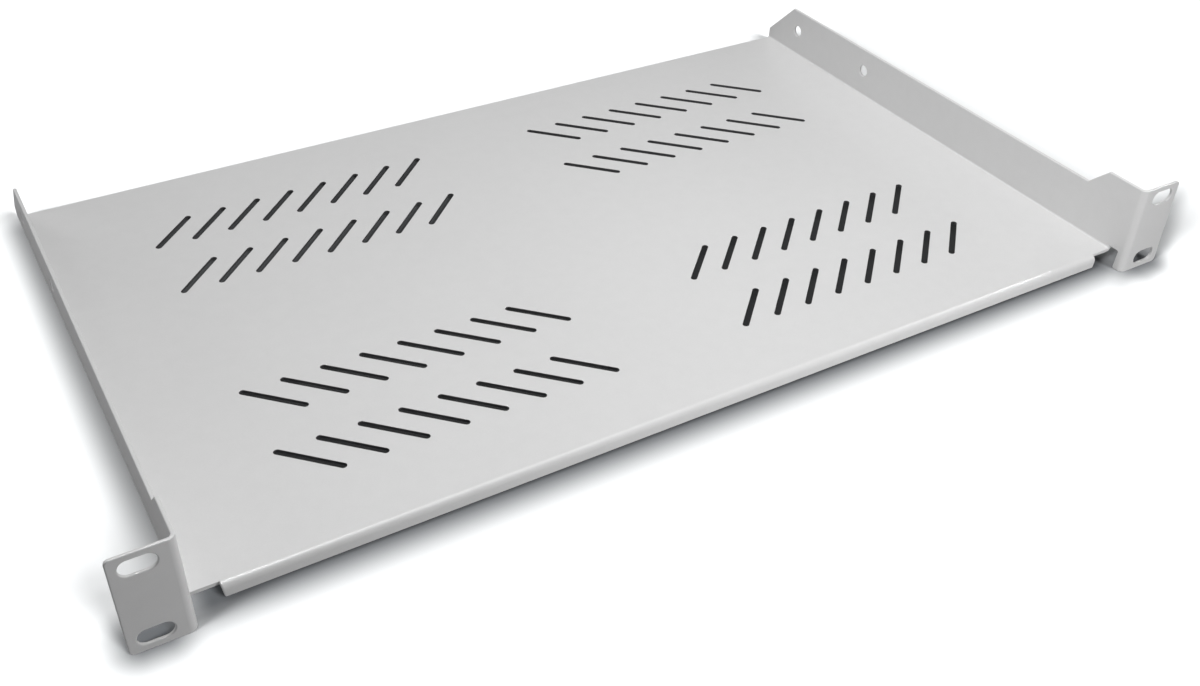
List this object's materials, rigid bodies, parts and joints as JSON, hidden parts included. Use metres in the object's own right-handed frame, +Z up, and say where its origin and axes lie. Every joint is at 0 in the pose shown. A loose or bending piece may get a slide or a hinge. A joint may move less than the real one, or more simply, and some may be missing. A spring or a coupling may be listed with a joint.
{
  "type": "cantilever rack shelf",
  "caption": "Flat vented tray folded from one steel sheet, with raised side flanges, a front lip and two slotted ears that bolt it to the front posts of a 19-inch rack.",
  "frame": {"origin": "centre of the four ear slots, on the rear face of the ears, which lies against the rack posts", "axes": "+X to the right seen from the front, +Y to the rear of the rack, +Z up"},
  "size_m": [0.4826, 0.279, 0.0436],
  "materials": {
    "powder_coat": "satin light grey powder coat over steel, with a very fine orange peel"
  },
  "bodies": {
    "root": {"shelf": "powder_coat"}
  },
  "joints": []
}
